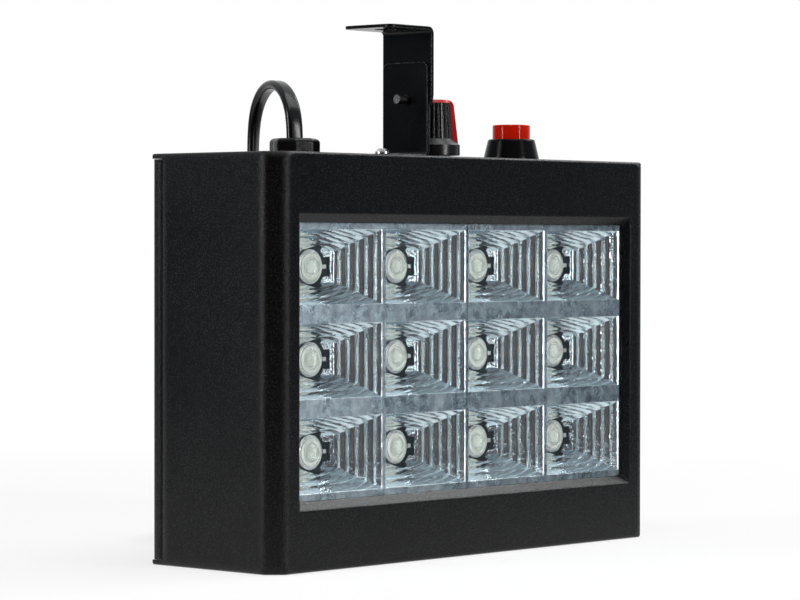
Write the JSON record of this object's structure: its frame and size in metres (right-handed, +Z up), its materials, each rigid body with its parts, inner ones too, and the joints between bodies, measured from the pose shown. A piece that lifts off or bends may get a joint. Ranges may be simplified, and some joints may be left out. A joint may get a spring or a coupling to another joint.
{
  "type": "strobe light",
  "caption": "Compact rectangular strobe light: fluted chrome reflectors behind a clear window, speed knob, push button, tilting hanging bracket and flat mains lead.",
  "frame": {"origin": "middle of the housing's underside", "axes": "+X to the right seen from the front, +Y to the back, +Z up"},
  "size_m": [0.172, 0.1227, 0.16],
  "materials": {
    "housing_black": "fine textured",
    "clear_sheet": "gloss",
    "reflector_chrome": "mirror",
    "board_black": "satin",
    "board_green": "satin",
    "emitter_white": "satin",
    "lens_clear": "gloss",
    "tinned_metal": "satin",
    "screw_steel": "polished",
    "screw_black": "satin",
    "capacitor_sleeve": "gloss",
    "ferrite": "satin",
    "winding_tape": "gloss",
    "transistor_black": "satin",
    "sink_aluminium": "satin",
    "terminal_green": "gloss",
    "fuse_glass": "gloss",
    "nickel": "gloss",
    "knob_black": "satin",
    "marker_red": "gloss",
    "button_black": "gloss",
    "button_red": "gloss",
    "gland_black": "satin",
    "bracket_black": "satin",
    "lead_black": "gloss",
    "plug_black": "satin",
    "brass": "satin"
  },
  "bodies": {
    "case": {"front_housing": "housing_black", "rear_cover": "housing_black", "rear_cover_screws": "screw_black", "clear_window": "clear_sheet", "reflector_left": "reflector_chrome", "reflector_right": "reflector_chrome", "led_board": "board_black", "led_emitters": "emitter_white", "emitter_lenses": "lens_clear", "emitter_legs": "tinned_metal", "led_board_screws": "screw_steel", "driver_board_screws": "screw_steel", "driver_board": "board_green", "filter_capacitors": "capacitor_sleeve", "transformer_core": "ferrite", "transformer_winding": "winding_tape", "power_transistor": "transistor_black", "heat_sink": "sink_aluminium", "terminal_block": "terminal_green", "fuse_tube": "fuse_glass", "fuse_caps": "nickel", "fuse_clips": "tinned_metal", "potentiometer": "nickel", "potentiometer_nut": "nickel", "push_button_barrel": "button_black", "push_button_nut": "nickel", "contact_body": "transistor_black", "button_spring": "screw_steel", "strain_relief": "gland_black", "lower_bracket": "bracket_black", "foot_screw": "screw_steel", "foot_nut": "screw_steel", "mains_lead": "lead_black", "lead_coil": "lead_black", "lead_tail": "lead_black", "plug_body": "plug_black", "plug_blades": "brass"},
    "arm": {"hanging_arm": "bracket_black", "tilt_washer": "screw_black"},
    "thumb_screw": {"tilt_screw": "screw_black"},
    "knob": {"speed_knob": "knob_black", "knob_marker": "marker_red", "potentiometer_shaft": "sink_aluminium"},
    "button": {"button_cap": "button_red"}
  },
  "joints": [
    {"name": "arm_tilt", "type": "hinge", "parent": "case", "child": "arm", "pos_m": [0, 0.0025, 0.138], "axis": [1, 0, 0], "range_deg": [-90, 90]},
    {"name": "thumb_screw_turn", "type": "hinge", "parent": "case", "child": "thumb_screw", "pos_m": [0, 0.0025, 0.138], "axis": [1, 0, 0], "range_deg": [-180, 180]},
    {"name": "knob_turn", "type": "hinge", "parent": "case", "child": "knob", "pos_m": [0.0125, 0.0025, 0.12], "axis": [0, 0, 1], "range_deg": [-150, 150]},
    {"name": "button_press", "type": "slide", "parent": "case", "child": "button", "axis": [0, 0, -1], "range_m": [0, 0.0025], "stiffness_N_per_m": 800, "springref_m": -0.0006, "deforming": ["button_spring"]}
  ]
}
